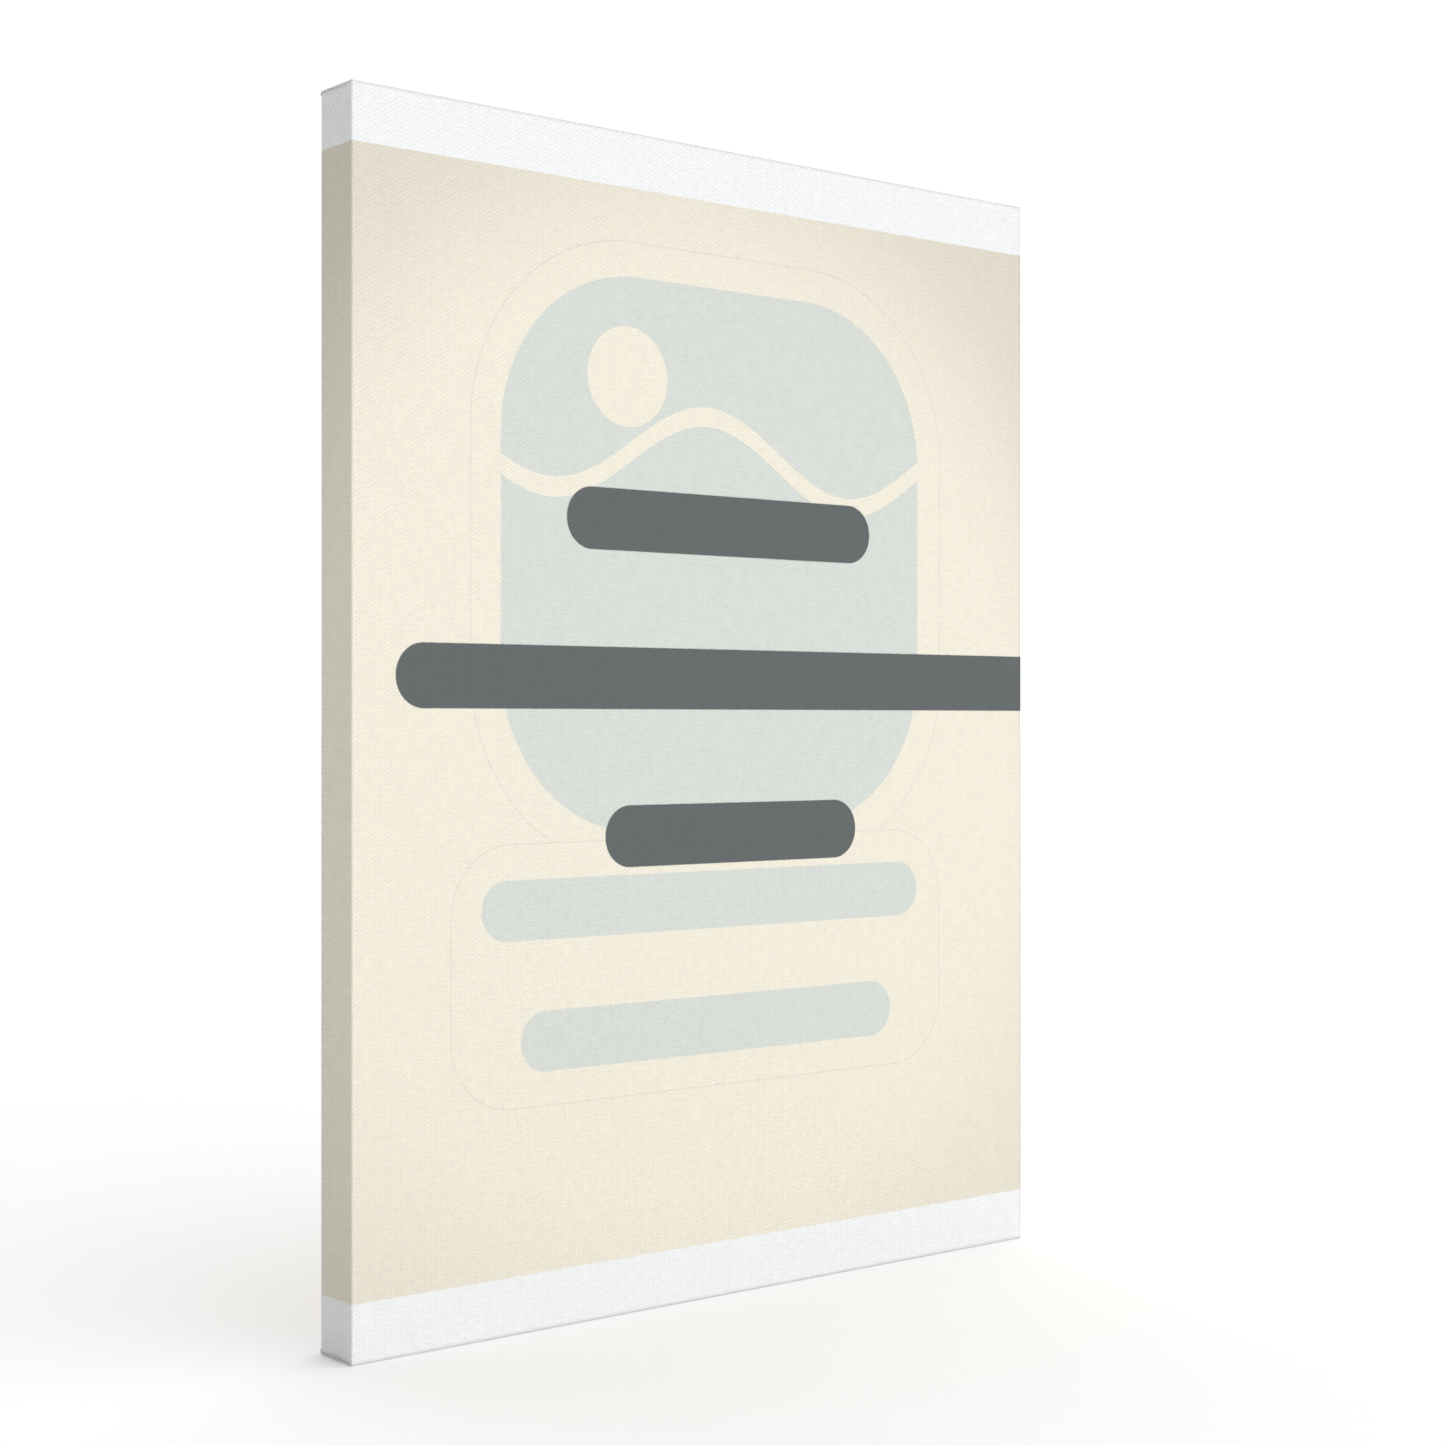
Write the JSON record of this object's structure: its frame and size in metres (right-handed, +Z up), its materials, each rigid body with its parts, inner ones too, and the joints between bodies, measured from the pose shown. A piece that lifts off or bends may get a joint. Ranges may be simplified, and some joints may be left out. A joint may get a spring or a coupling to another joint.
{
  "type": "stretched canvas",
  "caption": "Printed cloth stretched over a keyed wooden frame, folded and stapled at the back, with sliding corner wedges and a toothed wall hanger.",
  "frame": {"origin": "under the middle of the whole part, on the plane that its bottom edge stands on", "axes": "+Z up along the picture's height, +X to the right across the picture, +Y from the picture towards its back"},
  "size_m": [0.3, 0.0216, 0.4],
  "materials": {
    "canvas_cloth": "plain-weave cotton-polyester canvas, matt primed and printed, bare on the back",
    "pine": "planed pine, unfinished",
    "key_wood": "sawn beech, unfinished",
    "staple_wire": "galvanised flat wire",
    "hanger_plate": "pressed steel strip, brass plated",
    "nail_steel": "bright steel panel pin"
  },
  "bodies": {
    "frame": {"canvas": "canvas_cloth", "bar_top": "pine", "bar_bottom": "pine", "bar_left": "pine", "bar_right": "pine", "sawtooth_hanger": "hanger_plate", "hanger_nail_left": "nail_steel", "hanger_nail_right": "nail_steel", "staple_top_1": "staple_wire", "staple_top_2": "staple_wire", "staple_top_3": "staple_wire", "staple_top_4": "staple_wire", "staple_top_5": "staple_wire", "staple_bottom_1": "staple_wire", "staple_bottom_2": "staple_wire", "staple_bottom_3": "staple_wire", "staple_bottom_4": "staple_wire", "staple_bottom_5": "staple_wire", "staple_left_1": "staple_wire", "staple_left_2": "staple_wire", "staple_left_3": "staple_wire", "staple_left_4": "staple_wire", "staple_left_5": "staple_wire", "staple_left_6": "staple_wire", "staple_left_7": "staple_wire", "staple_right_1": "staple_wire", "staple_right_2": "staple_wire", "staple_right_3": "staple_wire", "staple_right_4": "staple_wire", "staple_right_5": "staple_wire", "staple_right_6": "staple_wire", "staple_right_7": "staple_wire", "staple_top_corner_1": "staple_wire", "staple_top_corner_2": "staple_wire", "staple_bottom_corner_1": "staple_wire", "staple_bottom_corner_2": "staple_wire"},
    "key_top_left_horizontal": {"key_top_left_horizontal": "key_wood"},
    "key_top_left_vertical": {"key_top_left_vertical": "key_wood"},
    "key_top_right_horizontal": {"key_top_right_horizontal": "key_wood"},
    "key_top_right_vertical": {"key_top_right_vertical": "key_wood"},
    "key_bottom_left_horizontal": {"key_bottom_left_horizontal": "key_wood"},
    "key_bottom_left_vertical": {"key_bottom_left_vertical": "key_wood"},
    "key_bottom_right_horizontal": {"key_bottom_right_horizontal": "key_wood"},
    "key_bottom_right_vertical": {"key_bottom_right_vertical": "key_wood"}
  },
  "joints": [
    {"name": "key_top_left_horizontal_slide", "type": "slide", "parent": "frame", "child": "key_top_left_horizontal", "axis": [1, 0, 0], "range_m": [0, 0.022]},
    {"name": "key_top_left_vertical_slide", "type": "slide", "parent": "frame", "child": "key_top_left_vertical", "axis": [0, 0, -1], "range_m": [0, 0.022]},
    {"name": "key_top_right_horizontal_slide", "type": "slide", "parent": "frame", "child": "key_top_right_horizontal", "axis": [-1, 0, 0], "range_m": [0, 0.022]},
    {"name": "key_top_right_vertical_slide", "type": "slide", "parent": "frame", "child": "key_top_right_vertical", "axis": [0, 0, -1], "range_m": [0, 0.022]},
    {"name": "key_bottom_left_horizontal_slide", "type": "slide", "parent": "frame", "child": "key_bottom_left_horizontal", "axis": [1, 0, 0], "range_m": [0, 0.022]},
    {"name": "key_bottom_left_vertical_slide", "type": "slide", "parent": "frame", "child": "key_bottom_left_vertical", "axis": [0, 0, 1], "range_m": [0, 0.022]},
    {"name": "key_bottom_right_horizontal_slide", "type": "slide", "parent": "frame", "child": "key_bottom_right_horizontal", "axis": [-1, 0, 0], "range_m": [0, 0.022]},
    {"name": "key_bottom_right_vertical_slide", "type": "slide", "parent": "frame", "child": "key_bottom_right_vertical", "axis": [0, 0, 1], "range_m": [0, 0.022]}
  ]
}
